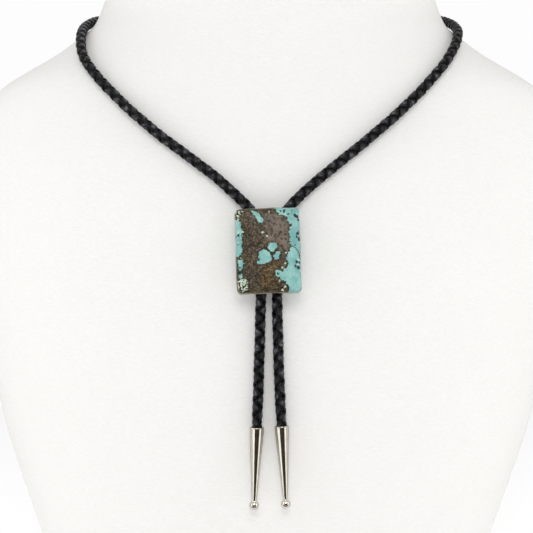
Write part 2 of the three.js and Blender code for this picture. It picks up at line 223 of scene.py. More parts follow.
class CordSettings(bpy.types.PropertyGroup):
    """The braided cord."""

    diameter: size("Diameter", "Diameter of the round braid", 4.5 * MM)
    swell: size("Swell", "How far the strands' crowns stand outside the braid's mean diameter", 0.18 * MM)
    strand_width: size("Strand width", "Width of one flat leather strand", 3.3 * MM)
    strand_thickness: size("Strand thickness", "Thickness of one flat leather strand", 1.05 * MM)
    turn: size("Turn", "Length of cord in which a strand goes once round", 12.7 * MM)
    # The grey of the worn tops is partly wear and partly a painted highlight on the strands' crests, with
    # painted glints; the deep colour is the black leather itself.
    leather: colour("Leather", "Colour of the leather's worn tops", (99, 100, 107))
    deep_leather: colour("Deep leather", "Colour of the leather where it isn't worn", (4, 4, 5))


class StoneSettings(bpy.types.PropertyGroup):
    """The polished stone."""

    corner_radius: size("Corner radius", "Radius of the stone's corners from the front", 2.2 * MM)
    turquoise: colour("Turquoise", "Colour of the turquoise", (106, 160, 160))
    pale_turquoise: colour("Pale turquoise", "Colour of its paler clouds", (136, 184, 177))
    matrix: colour("Matrix", "Main colour of the brown matrix", (66, 57, 42))
    dark_matrix: colour("Dark matrix", "Colour of the veins and the darkest specks", (26, 21, 15))
    tan: colour("Tan specks", "Colour of the palest specks in the matrix", (132, 114, 88))
    gold: colour("Golden matrix", "Colour of the golden zones", (86, 63, 24))
    # A painted sheen: the lighter purple-grey where the crown catches the soft light.
    painted_purple_sheen: colour("Purple matrix", "Colour of the purple-grey zones", (114, 103, 95))
    grey: colour("Grey matrix", "Colour of the grey-green zones", (66, 65, 54))
    pale: colour("Pale host", "Colour of the white-green spots", (196, 210, 190))
    ground: colour("Ground edge", "Colour of the dull ground edge round the stone", (150, 146, 126))


class ClipSettings(bpy.types.PropertyGroup):
    """The metal clip behind the stone."""

    plate_thickness: size("Plate thickness", "Thickness of the plate", 0.9 * MM)
    plate_corner: size("Plate corner", "Radius of the plate's corners", 3 * MM)
    channel_spacing: size("Channel spacing", "Distance between the two channels' middles", 6.4 * MM)
    channel_wall: size("Channel wall", "Thickness of a channel's wall", 0.75 * MM)
    clearance: size("Clearance", "Room round the cord in a channel or a tip", 0.3 * MM)
    metal: colour("Metal", "Colour of the brushed metal", (196, 190, 178))
    edge: colour("Edge tint", "Tint of the metal where it turns away", (235, 232, 226))


class TipSettings(bpy.types.PropertyGroup):
    """The two metal tips."""

    length: size("Length", "Length of a tip with its ball", 34.9 * MM)
    end_diameter: size("End diameter", "Diameter of the cone where it meets the ball", 2.2 * MM)
    ball_diameter: size("Ball diameter", "Diameter of the ball", 4 * MM)
    wall: size("Wall", "Thickness of the wall at the mouth", 0.35 * MM)
    bore_depth: size("Bore depth", "Depth of the hollow", 12 * MM)
    lip_radius: size("Lip radius", "Radius of the rolled lip's section", 0.24 * MM)
    metal: colour("Metal", "Colour of the polished metal", (233, 229, 219))
    # The dark edge tint paints a darker reflection along the tips' edges and round the balls, where the
    # metal turns away.
    edge: colour("Edge tint", "Tint of the metal where it turns away", (118, 108, 96))


class BustSettings(bpy.types.PropertyGroup):
    """The neck bust."""

    leatherette: colour("Leatherette", "Colour of the white leatherette", (235, 234, 232))
    shaded: colour("Grain colour", "Colour in the hollows of the grain", (227, 226, 223))
    grain: size("Grain size", "Size of one cell of the grain", 0.9 * MM)
    rim: size("Rim", "How far in from an end's edge its flat starts", 1.5 * MM)


class Shader:
    """The node tree of one material."""

    MIX_INPUTS = {"factor": 0, "low": 6, "high": 7}
    MIX_RESULT = 2

    def __init__(self, name):
        self.material = bpy.data.materials.new(name)
        self.material.use_nodes = True
        self.tree = self.material.node_tree
        self.surface = self.tree.nodes["Principled BSDF"].inputs

    def set(self, socket, value):
        if isinstance(value, bpy.types.NodeSocket):
            self.tree.links.new(value, socket)
        elif socket.type == "RGBA" and len(value) == 3:
            socket.default_value = (*value, 1)
        else:
            socket.default_value = value

    def node(self, kind, result=0, settings=None, **inputs):
        """Adds a node, feeds its inputs, named with _ for a space, and gives back one of its outputs."""
        node = self.tree.nodes.new("ShaderNode" + kind)
        for name, value in (settings or {}).items():
            setattr(node, name, value)
        for name, value in inputs.items():
            self.set(node.inputs[name.replace("_", " ")], value)
        return node.outputs[result]

    def coordinates(self, scale=(1, 1, 1), output="Object"):
        place = self.node("TexCoord", output)
        return self.node("Mapping", Vector=place, Scale=scale)

    def noise(self, place, cells, detail=3.0, roughness=0.5):
        """Noise from 0 to 1 with so many cells to a metre."""
        return self.node("TexNoise", 0, Vector=place, Scale=cells, Detail=detail, Roughness=roughness)

    def step(self, value, start, end):
        """0 where the value is before start and 1 past end, with a soft change between them."""
        settings = {"interpolation_type": "SMOOTHSTEP"}
        return self.node("MapRange", 0, settings, Value=value, From_Min=start, From_Max=end)

    def math(self, operation, first, second=0.0, third=0.0):
        node = self.tree.nodes.new("ShaderNodeMath")
        node.operation = operation
        for socket, value in zip(node.inputs, (first, second, third)):
            self.set(socket, value)
        return node.outputs[0]

    def mix(self, factor, low, high):
        """The low colour at factor 0 and the high one at 1."""
        node = self.tree.nodes.new("ShaderNodeMix")
        node.data_type = "RGBA"
        for name, value in (("factor", factor), ("low", low), ("high", high)):
            self.set(node.inputs[self.MIX_INPUTS[name]], value)
        return node.outputs[self.MIX_RESULT]

    def cover(self, under, over, share, mask):
        """Lays one colour over another where the mask is, up to a share of it."""
        return self.mix(self.math("MULTIPLY", share, mask), under, over)

    def roughen(self, value, noise, amount):
        """Moves a value up and down by noise, up to half the amount each way."""
        return self.math("MULTIPLY_ADD", self.math("SUBTRACT", noise, 0.5), amount, value)

    def spread(self, value, low, high):
        """Spreads a value from 0 to 1 between two others."""
        return self.node("MapRange", 0, None, Value=value, To_Min=low, To_Max=high)

    def attribute(self, name):
        return self.node("Attribute", "Fac", {"attribute_name": name})

    def bump(self, height, distance, strength=1.0, normal=None):
        """Raises the surface by the height times the distance, on top of another bump where one is given."""
        inputs = {} if normal is None else {"Normal": normal}
        return self.node("Bump", 0, None, Height=height, Distance=distance, Strength=strength, **inputs)

    def finish(self, **inputs):
        for name, value in inputs.items():
            self.set(self.surface[name.replace("_", " ")], value)
        return self.material


def new_piece(name, bm, material, smooth=True):
    """Makes an object of a bmesh, with its place in its mesh."""
    mesh = bpy.data.meshes.new(name)
    bm.to_mesh(mesh)
    bm.free()
    mesh.materials.append(material)
    mesh.polygons.foreach_set("use_smooth", [smooth] * len(mesh.polygons))
    piece = bpy.data.objects.new(name, mesh)
    bpy.context.scene.collection.objects.link(piece)
    return piece


def dress(piece, node):
    """Hangs a piece on the body and hides the CAD node that it stands for."""
    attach(piece, BODY)
    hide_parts(node)


def spin_profile(bm, profile):
    """Turns a profile in the XZ plane once round the Z axis."""
    verts = [bm.verts.new(point) for point in profile]
    edges = [bm.edges.new(pair) for pair in zip(verts, verts[1:])]
    bmesh.ops.spin(
        bm, geom=[*verts, *edges], cent=(0, 0, 0), axis=(0, 0, 1), dvec=(0, 0, 0),
        angle=2 * math.pi, steps=SPIN_STEPS, use_merge=True,
    )


def close_up(bm):
    """Merges the seam and the poles and turns the faces outwards."""
    bmesh.ops.remove_doubles(bm, verts=bm.verts, dist=MERGE_DISTANCE)
    bmesh.ops.recalc_face_normals(bm, faces=bm.faces)


def arc(middle, radius, start, end, steps):
    """Points on an arc in the XZ plane, with angles in degrees from +X towards +Z."""
    turns = [math.radians(start + (end - start) * i / steps) for i in range(steps + 1)]
    return [Vector((middle[0] + radius * math.cos(a), 0, middle[1] + radius * math.sin(a))) for a in turns]


# The stage

FLOOR_RADIUS = 1.0
FLOOR_SIDES = 96
BACKDROP_RADIUS = 8.0
BACKDROP_SIDES = 64
BEIGE = paint(190, 184, 172)
# The cards round the object: name, corner, two edges and colour
CARDS = [
    ("dark_card", (-0.13, -0.27, 0.001), (0.32, 0, 0), (0, 0, 0.109), paint(66, 61, 54)),
    ("grey_mat", (-0.2, -0.265, 0.001), (0.4, 0, 0), (0, 0.17, 0), paint(150, 144, 134)),
    ("left_beige_card", (-0.22, -0.14, 0.001), (-0.02, 0.44, 0), (0, 0, 0.5), BEIGE),
    ("right_beige_card", (0.22, -0.14, 0.001), (0.02, 0.44, 0), (0, 0, 0.5), BEIGE),
]
TARGET = (0, -0.07, 0.17)  # what the softboxes are aimed at
FRONT_SOFTBOX_PLACE = (0, -1.1, 0.75)
FRONT_SOFTBOX_SIZE = (0.5, 0.4)
SIDE_SOFTBOX_PLACE = (1.05, -0.28, 0.42)
SIDE_SOFTBOX_SIZE = (0.7, 1.0)


def make_softbox(name, place, extent, watts):
    """A soft rectangle of light that is aimed at the tie."""
    light = bpy.data.lights.new(name, "AREA")
    light.shape = "RECTANGLE"
    light.size, light.size_y = extent
    light.energy = watts
    lamp = bpy.data.objects.new(name, light)
    lamp.location = place
    lamp.rotation_euler = (Vector(TARGET) - Vector(place)).to_track_quat("-Z", "Y").to_euler()
    bpy.context.scene.collection.objects.link(lamp)


def make_floor(settings):
    shader = Shader("studio_floor")
    tone = settings.floor_colour
    material = shader.finish(
        Base_Color=tone, Roughness=0.9, Specular_IOR_Level=0.1, Emission_Color=tone,
        Emission_Strength=settings.floor_glow,
    )
    bm = bmesh.new()
    bmesh.ops.create_circle(bm, cap_ends=True, segments=FLOOR_SIDES, radius=FLOOR_RADIUS)
    new_piece("studio_floor", bm, material, smooth=False)


def make_backdrop(settings):
    """The evenly lit white wall behind the object, which lights nothing itself."""
    shader = Shader("backdrop")
    material = shader.finish(
        Base_Color=(0, 0, 0), Specular_IOR_Level=0.0, Emission_Color=settings.backdrop_colour,
        Emission_Strength=1.0,
    )
    bm = bmesh.new()
    bmesh.ops.create_uvsphere(
        bm, u_segments=BACKDROP_SIDES, v_segments=BACKDROP_SIDES // 2, radius=BACKDROP_RADIUS
    )
    backdrop = new_piece("backdrop", bm, material)
    backdrop.visible_diffuse = False
    backdrop.visible_glossy = False
    backdrop.visible_transmission = False
    backdrop.visible_shadow = False


def make_card(name, corner, across, along, tone):
    """A flat card from a corner and its two edges, which only the glossy pieces show."""
    shader = Shader(name)
    material = shader.finish(Base_Color=tone, Roughness=1.0, Specular_IOR_Level=0.0)
    corner, across, along = Vector(corner), Vector(across), Vector(along)
    turn = Matrix((across, along, across.cross(along))).transposed().to_4x4()
    bm = bmesh.new()
    bmesh.ops.create_grid(bm, x_segments=1, y_segments=1, size=0.5)
    bm.transform(Matrix.Translation(corner + (across + along) / 2) @ turn)
    card = new_piece(name, bm, material, smooth=False)
    card.visible_camera = False
    card.visible_diffuse = False
    card.visible_shadow = False


class BOLO_OT_make_stage(bpy.types.Operator):
    """Sets up the camera, the soft light and the floor"""

    bl_idname = "bolo.make_stage"
    bl_label = "Stage"

    def execute(self, context):
        settings = context.scene.bolo_stage
        camera = bpy.data.objects.new("camera", bpy.data.cameras.new("camera"))
        camera.location = (settings.camera_side, -settings.camera_distance, settings.camera_height)
        camera.rotation_euler = (math.radians(90), 0, 0)
        camera.data.lens = settings.lens
        context.scene.collection.objects.link(camera)
        context.scene.camera = camera
        context.scene.view_settings.view_transform = "Standard"

        world = bpy.data.worlds.new("studio")
        world.use_nodes = True
        world.node_tree.nodes["Background"].inputs["Color"].default_value = (1, 1, 1, 1)
        world.node_tree.nodes["Background"].inputs["Strength"].default_value = settings.sky
        context.scene.world = world

        make_softbox("front_softbox", FRONT_SOFTBOX_PLACE, FRONT_SOFTBOX_SIZE, settings.front_power)
        for side, name in ((-1, "left_softbox"), (1, "right_softbox")):
            place = (side * SIDE_SOFTBOX_PLACE[0], *SIDE_SOFTBOX_PLACE[1:])
            make_softbox(name, place, SIDE_SOFTBOX_SIZE, settings.side_power)
        make_floor(settings)
        make_backdrop(settings)
        for card in CARDS:
            make_card(*card)
        return {"FINISHED"}


# The cord


def smooth_line(route, steps):
    """Points along a centripetal Catmull-Rom curve through the route, with so many steps to a stretch."""
    knots = [Vector(point) for point in route]
    knots = [2 * knots[0] - knots[1], *knots, 2 * knots[-1] - knots[-2]]
    line = []
    for before, start, end, after in zip(knots, knots[1:], knots[2:], knots[3:]):
        near = math.sqrt((start - before).length)
        middle = math.sqrt((end - start).length)
        far = math.sqrt((after - end).length)
        leaving = (start - before) / near - (end - before) / (near + middle) + (end - start) / middle
        arriving = (end - start) / middle - (after - start) / (middle + far) + (after - end) / far
        handles = start + leaving * middle / 3, end - arriving * middle / 3
        line += interpolate_bezier(start, *handles, end, steps + 1)[:-1]
    return [*line, knots[-2]]


class Line:
    """A smooth line looked up by the length along it, with a frame that keeps one side to the front."""

    def __init__(self, points):
        points = np.array(points)
        along = np.concatenate([[0], np.cumsum(np.linalg.norm(np.diff(points, axis=0), axis=1))])
        self.length = along[-1]
        self.at = np.linspace(0, self.length, round(self.length / LINE_STEP) + 1)
        self.points = np.stack([np.interp(self.at, along, axis) for axis in points.T], axis=1)
        tangents = np.gradient(self.points, axis=0)
        self.tangents = tangents / np.linalg.norm(tangents, axis=1)[:, None]
        side = FRONT
        sides = []
        for tangent in self.tangents:
            toward = FRONT - FRONT.dot(tangent) * Vector(tangent)
            side = side + FLAT_LIE * max(side.dot(toward), 0) * toward
            side = (side - side.dot(tangent) * Vector(tangent)).normalized()
            sides.append(side)
        self.sides = np.array(sides)
        self.ups = np.cross(self.tangents, self.sides)

    def look_up(self, column, at):
        return np.stack([np.interp(at, self.at, axis) for axis in column.T], axis=1)

    def place(self, at, angle, radius):
        """Points at so much length along the line, at an angle round it and a distance from it."""
        inside = np.clip(at, 0, self.length)
        past = (at - inside)[:, None] * self.look_up(self.tangents, inside)
        out = np.cos(angle)[:, None] * self.look_up(self.sides, inside)
        out += np.sin(angle)[:, None] * self.look_up(self.ups, inside)
        return self.look_up(self.points, inside) + past + radius[:, None] * out


def bell(at, height, middle, reach):
    """A soft hump with its height at the middle, near 0 past twice the reach."""
    return height * np.exp(-(((at - middle) / reach) ** 2))


def square_up(wave):
    """A sine or cosine drawn towards 1 and -1, which makes an oval section squarer."""
    return np.sign(wave) * np.abs(wave) ** STRAND_SQUARENESS


def end_shape(line, at):
    """The braid's thickness as a share: drawn in near a tip, flared at its mouth and thinner inside it."""
    to_mouth = np.minimum(at, line.length - at) - CORD_IN_TIP
    drawn = 1 - bell(to_mouth, *DRAWN_IN)
    flare = bell(to_mouth, *FLARE)
    inside = SQUEEZE * np.clip(-to_mouth / SQUEEZE_REACH, 0, 1)
    return drawn + flare - inside


def strand_places(settings, line, direction, phase, around, along):
    """Where a strand's surface is and how much of the crest's wear and painted highlight it takes, for
    shares of the way round its section and along it.

    Two strands wind each way round the cord. Each one goes over and under those that wind the other way,
    twice in a turn, and its flat section is bent round the cord.
    """
    thickness, width = settings.strand_thickness, settings.strand_width
    wave = STRAND_WAVE * thickness
    radius = settings.diameter / 2 + settings.swell - thickness / 2 - wave
    turning = 2 * math.pi / settings.turn
    at = along * line.length
    turned = turning * at
    shape = end_shape(line, at)
    wobble = sum(height * np.sin(turned * waves + shift * phase) for height, waves, shift in WOBBLES)
    over = np.tanh(OVER_STEEPNESS * np.cos(2 * turned - BRAID_PHASE)) / math.tanh(OVER_STEEPNESS)
    strand = (radius + direction * wave * over + wobble) * shape
    lean = math.atan(turning * (radius + wave))
    section = 2 * math.pi * around
    across = width / 2 * square_up(np.cos(section))
    out = thickness / 2 * square_up(np.sin(section))
    # The crest where a strand passes over, on its outer face: partly wear and partly where a painted
    # highlight goes.
    worn = np.maximum(direction * over, 0) * (1 - (2 * across / width) ** 2) * (out > 0)
    place = at - direction * across * math.sin(lean)
    angle = direction * turned + phase + across * math.cos(lean) / np.maximum(strand, radius)
    for amount, wavelength, start in TWISTS:
        angle = angle + amount * np.sin(2 * math.pi * place / wavelength + start)
    return line.place(place, angle, strand + out * shape), worn


def braid(settings, line):
    """The four strands of the braid as closed tubes, with U round a strand and V along it."""
    bm = bmesh.new()
    bm.loops.layers.uv.new("UVMap")
    # Each point keeps its share of the crests' wear and painted highlight.
    wear_and_sheen = bm.verts.layers.float.new("worn")
    steps = round(line.length / settings.turn * STEPS_PER_TURN)
    for direction, phase in STRANDS:
        grid = bmesh.ops.create_grid(bm, x_segments=STRAND_SIDES, y_segments=steps, size=0.5, calc_uvs=True)
        shares = np.array([vert.co.xy for vert in grid["verts"]]) + 0.5
        places, worn = strand_places(settings, line, direction, phase, *shares.T)
        for vert, place, amount in zip(grid["verts"], places, worn):
            vert.co = place
            vert[wear_and_sheen] = amount
    close_up(bm)
    open_edges = [edge for edge in bm.edges if edge.is_boundary]
    bmesh.ops.holes_fill(bm, edges=open_edges, sides=STRAND_SIDES)
    close_up(bm)
    return bm


def leather_material(settings, line):
    """Black lace leather: fine grain, streaks drawn out along the strand, and greyer tops that are partly
    worn and partly painted highlight, with painted glints in rubbed patches.
    """
    shader = Shader("braided_leather")
    girth = 2 * (settings.strand_width + settings.strand_thickness)
    lean = math.atan(math.pi * settings.diameter / settings.turn)
    strand_length = line.length / math.cos(lean)
    strand = shader.coordinates((girth, strand_length, 1), "UV")
    drawn = shader.coordinates((girth, strand_length / GRAIN_DRAW, 1), "UV")
    place = shader.coordinates()
    grain = shader.noise(strand, 3200, 4)
    streaks = shader.noise(drawn, 1700, 3)
    # The strands' crests are painted lighter, partly as wear and partly as painted highlight, and the rubbed
    # patches on them are painted glints.
    wear_and_sheen = shader.noise(place, 420, 3)
    worn = shader.step(shader.attribute("worn"), 0.26, 0.92)
    rubbed_and_glinting = shader.math("MULTIPLY", shader.step(wear_and_sheen, 0.38, 0.66), shader.step(streaks, 0.4, 0.6))
    tops = shader.math("MULTIPLY", worn, shader.math("MULTIPLY_ADD", rubbed_and_glinting, 0.88, 0.12))
    base = shader.mix(tops, settings.deep_leather, settings.leather)
    rough = shader.spread(grain, 0.26, 0.44)
    coarse = shader.bump(streaks, 0.12 * MM, 0.8)
    fine = shader.bump(grain, 0.06 * MM, 0.8, coarse)
    return shader.finish(Base_Color=base, Roughness=rough, Normal=fine, Specular_IOR_Level=0.16)


class BOLO_OT_make_cord(bpy.types.Operator):
    """Braids the leather cord from tip to tip"""

    bl_idname = "bolo.make_cord"
    bl_label = "Cord"

    def execute(self, context):
        settings = context.scene.bolo_cord
        line = Line(smooth_line(CORD_ROUTE, ROUTE_STEPS))
        cord = new_piece("braided_cord", braid(settings, line), leather_material(settings, line))
        dress(cord, "bolo_cord")
        return {"FINISHED"}


# The tips

LIP_PROUD = 0.07 * MM
LIP_ARC = (180, -50)  # the degrees at which the lip's section starts and ends
LIP_STEPS = 10
CONE_START = 2.2  # in radii of the lip from the mouth
CONE_STEPS = 24
BALL_STEPS = 24
NECK_FILLET = 0.25 * MM  # where the cone ends short of the ball
NECK_TURN = 4  # how many degrees past the cone's end the ball's section starts


def metal_material(name, settings, roughness, drawn):
    """Polished metal with faint drawn scratches and a little uneven polish."""
    shader = Shader(name)
    metal, edge = settings.metal, settings.edge
    place = shader.coordinates(drawn)
    scratches = shader.noise(place, 5000, 3)
    cloud = shader.noise(shader.coordinates(), 260, 3)
    tone = shader.mix(shader.step(cloud, 0.3, 0.75), metal, tuple(0.9 * channel for channel in metal))
    rough = shader.spread(cloud, 0.7 * roughness, 1.4 * roughness)
    normal = shader.bump(scratches, 0.004 * MM, 0.6)
    # For the tips, the dark edge tint is a painted darker reflection where the metal turns away.
    return shader.finish(Base_Color=tone, Metallic=1.0, Roughness=rough, Normal=normal, Specular_Tint=edge)


def tip_profile(settings, cord_diameter, clearance):
    """Half of a tip's section with its mouth at the origin and its ball at -Z."""
    end, ball, wall = settings.end_diameter / 2, settings.ball_diameter / 2, settings.wall
    ball_height = ball - settings.length
    cone_height = ball_height + math.sqrt(ball**2 - end**2)
    at_cord_end = cord_diameter / 2 + clearance + wall
    taper = (at_cord_end - end) / (-CORD_IN_TIP - cone_height)
    mouth = end + taper * -cone_height
    lip = settings.lip_radius
    lip_middle = (mouth - lip + LIP_PROUD, -lip)
    bore_end = mouth - taper * settings.bore_depth - wall
    neck = math.degrees(math.acos(end / ball))
    cone = [
        Vector((mouth - taper * depth, 0, -depth))
        for depth in np.linspace(CONE_START * lip, -cone_height - NECK_FILLET, CONE_STEPS)
    ]
    return [
        Vector((0, 0, -settings.bore_depth)),
        Vector((bore_end, 0, -settings.bore_depth)),
        Vector((mouth - wall - taper * 2 * lip, 0, -2 * lip)),
        *arc(lip_middle, lip, *LIP_ARC, LIP_STEPS),
        *cone,
        *arc((0, ball_height), ball, neck - NECK_TURN, -90, BALL_STEPS),
    ]


class BOLO_OT_make_tips(bpy.types.Operator):
    """Turns the two metal tips, each with its rolled lip, hollow mouth and ball"""

    bl_idname = "bolo.make_tips"
    bl_label = "Tips"

    def execute(self, context):
        settings = context.scene.bolo_tips
        clip = context.scene.bolo_clip
        profile = tip_profile(settings, context.scene.bolo_cord.diameter, clip.clearance)
        metal = metal_material("polished_metal", settings, 0.07, (1, 1, 0.05))
        ends = {
            "left_tip": ("tip_left", CORD_ROUTE[0], CORD_ROUTE[1]),
            "right_tip": ("tip_right", CORD_ROUTE[-1], CORD_ROUTE[-2]),
        }
        for name, (node, last, before) in ends.items():
            bm = bmesh.new()
            spin_profile(bm, profile)
            close_up(bm)
            direction = (Vector(last) - Vector(before)).normalized()
            turn = Vector((0, 0, -1)).rotation_difference(direction).to_matrix().to_4x4()
            bm.transform(Matrix.Translation(Vector(last) - direction * CORD_IN_TIP) @ turn)
            dress(new_piece(name, bm, metal), node)
        return {"FINISHED"}


# The slide


def slide_turn():
    """The turn of the slide's upright frame to the slope of the chest, from the plate's flat face."""
    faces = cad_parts["slide_clip"].data.polygons
    normal = max(faces, key=lambda face: face.area).normal
    normal = normal if normal.y < 0 else -normal
    return Vector((0, -1, 0)).rotation_difference(normal).to_matrix()


def box_in_slide(node):
    """The lowest and highest corner of a CAD node in the slide's own frame."""
    turn_back = slide_turn().transposed()
    points = np.array([turn_back @ vert.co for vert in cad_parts[node].data.vertices])
    return Vector(points.min(axis=0)), Vector(points.max(axis=0))


def swell(at, waves):
    """How far an edge swells out at each place along it."""
    return sum(height * np.sin(at / length + start) for height, length, start in waves)


class StoneShape:
    """The stone's outline and crown, in its own frame with its flat back at y = 0."""

    def __init__(self, settings):
        low, high = box_in_slide("slide_stone")
        self.middle = (low + high) / 2
        self.thickness = high.y - low.y
        self.back = high.y
        roll_growth = abs(math.sin(STONE_ROLL))
        self.half_width = (high.x - low.x) / 2 - roll_growth * (high.z - low.z) / 2 * (1 - CORNER_LOSS)
        self.half_height = (high.z - low.z) / 2 - roll_growth * (high.x - low.x) / 2 * (1 - CORNER_LOSS)
        self.corner = settings.corner_radius

    def outside(self, x, z, inset):
        """Above zero where a point is outside the line that runs this far inside the stone's outline."""
        radius = self.corner + STONE_CORNER_SPREAD * inset
        right = np.maximum(np.abs(x) - (self.half_width - inset - radius), 0)
        up = np.maximum(np.abs(z) - (self.half_height - inset - radius), 0)
        return np.hypot(right, up) - radius

    def inset(self, x, z):
        """How far inside the outline each point lies."""
        low, high = np.zeros(len(x)), np.full(len(x), STONE_CROWN_REACH)
        for _ in range(HALVINGS):
            middle = (low + high) / 2
            inside = self.outside(x, z, middle) <= 0
            low, high = np.where(inside, middle, low), np.where(inside, high, middle)
        return low

    def crown(self, x, z):
        """How far in front of the back the crown is."""
        edge = 1 - self.inset(x, z) / STONE_CROWN_REACH
        rise = np.sqrt(np.maximum(1 - edge**STONE_CROWN_POWER, 0))
        return self.thickness * (STONE_FLAT_RISE + (1 - STONE_FLAT_RISE) * rise)

    def round_corners(self, x, z):
        """Moves the points of a full rectangle into the one with round corners."""
        right = np.clip((np.abs(x) - self.half_width + self.corner) / self.corner, 0, 1)
        up = np.clip((np.abs(z) - self.half_height + self.corner) / self.corner, 0, 1)
        x = x - np.sign(x) * self.corner * right * (1 - np.sqrt(1 - up**2 / 2))
        z = z - np.sign(z) * self.corner * up * (1 - np.sqrt(1 - right**2 / 2))
        return x, z

    def wander(self, x, z):
        """The small swells of a hand-ground outline."""
        off_x = swell(z, SIDE_SWELLS) * np.abs(x) / self.half_width
        off_z = swell(x, END_SWELLS) * np.abs(z) / self.half_height
        return x + off_x, z + off_z

    def to_world(self):
        roll = Matrix.Rotation(STONE_ROLL, 4, "Y")
        place = Matrix.Translation((self.middle.x, self.back, self.middle.z))
        return slide_turn().to_4x4() @ place @ roll


def inside_distance(points, outline):
    """How far each point lies inside a closed outline, below zero where it is outside."""
    nearest = np.full(len(points), np.inf)
    inside = np.zeros(len(points), bool)
    for start, end in zip(outline, np.roll(outline, -1, axis=0)):
        nearest = np.minimum(nearest, line_distance(points, start, end))
        crosses = (start[1] > points[:, 1]) != (end[1] > points[:, 1])
        slope = (end[0] - start[0]) / (end[1] - start[1]) if end[1] != start[1] else 0
        inside ^= crosses & (points[:, 0] < start[0] + (points[:, 1] - start[1]) * slope)
    return np.where(inside, nearest, -nearest)


def line_distance(points, start, end):
    along = end - start
    share = np.clip(((points - start) @ along) / (along @ along), 0, 1)
    return np.linalg.norm(points - start - share[:, None] * along, axis=1)


def cut_corners(outline):
    """A closed outline with each corner cut to two softer ones."""
    points = np.array(outline)
    after = np.roll(points, -1, axis=0)
    cut, rest = PATCH_CORNER_CUT, 1 - PATCH_CORNER_CUT
    return np.stack([rest * points + cut * after, cut * points + rest * after], axis=1).reshape(-1, 2)


def soft_zones(points, zones):
    """The strongest of some soft oval zones at each point, from 0 to 1."""
    strength = np.zeros(len(points))
    for x, z, half_width, half_height in zones:
        away = ((points[:, 0] - x) / half_width) ** 2 + ((points[:, 1] - z) / half_height) ** 2
        strength = np.maximum(strength, np.exp(-away))
    return strength


def spot_distance(points, spots):
    """How far each point lies inside the nearest of some round spots, below zero outside."""
    depths = [radius - np.linalg.norm(points - (x, z), axis=1) for x, z, radius in spots]
    return np.max(depths, axis=0)


def vein_distance(points):
    pairs = [(np.array(a), np.array(b)) for vein in VEINS for a, b in zip(vein, vein[1:])]
    return np.min([line_distance(points, a, b) for a, b in pairs], axis=0)


def stone_pattern(points):
    """The pattern's measures at each point, in millimetres or from 0 to 1."""
    patches = [inside_distance(points, cut_corners(patch)) for patch in TURQUOISE_PATCHES.values()]
    return {
        "turquoise_depth": np.max(patches, axis=0),
        "vein_distance": vein_distance(points),
        "dark_depth": spot_distance(points, DARK_SPOTS),
        "pale_depth": spot_distance(points, PALE_SPOTS),
        "gold": soft_zones(points, GOLDEN_ZONES),
        # The zones of painted purple-grey sheen.
        "painted_purple_sheen": soft_zones(points, PAINTED_SHEEN_ZONES),
        "grey": soft_zones(points, GREY_ZONES),
        "speckled": soft_zones(points, SPECKLED_ZONES),
    }


def slab(shape):
    """The stone as a fine grid over its crown, drawn back to its sides and closed at its back."""
    bm = bmesh.new()
    columns = round(2 * shape.half_width / STONE_GRID)
    rows = round(2 * shape.half_height / STONE_GRID)
    grid = bmesh.ops.create_grid(bm, x_segments=columns, y_segments=rows, size=1)
    shares = np.array([vert.co.xy for vert in grid["verts"]])
    x, z = shape.round_corners(shares[:, 0] * shape.half_width, shares[:, 1] * shape.half_height)
    depth = stone_pattern(np.stack([x, z], axis=1) / MM)["turquoise_depth"]
    worn = UNDERCUT * (1 - np.clip(depth / PATCH_EDGE + 0.5, 0, 1))
    y = worn - shape.crown(x, z)
    x, z = shape.wander(x, z)
    for vert, place in zip(grid["verts"], np.stack([x, y, z], axis=1)):
        vert.co = place
    edge = [edge for edge in bm.edges if edge.is_boundary]
    side_top = -STONE_FLAT_RISE * shape.thickness
    side_low = -STONE_BACK_BEVEL
    for step in range(1, STONE_SIDE_STEPS + 1):
        level = side_top + (side_low - side_top) * step / STONE_SIDE_STEPS
        edge = drop_edge(bm, edge, level)
    edge = drop_edge(bm, edge, 0, inset=STONE_BACK_BEVEL)
    bmesh.ops.edgenet_fill(bm, edges=edge)
    bmesh.ops.recalc_face_normals(bm, faces=bm.faces)
    return bm


def drop_edge(bm, edges, level, inset=0.0):
    """Draws an outline back to a level and gives back the new one."""
    made = bmesh.ops.extrude_edge_only(bm, edges=edges)["geom"]
    verts = [item for item in made if isinstance(item, bmesh.types.BMVert)]
    for vert in verts:
        flat = Vector((vert.co.x, 0, vert.co.z))
        vert.co = flat * (1 - inset / max(flat.length, inset)) + Vector((0, level, 0))
    return [item for item in made if isinstance(item, bmesh.types.BMEdge)]


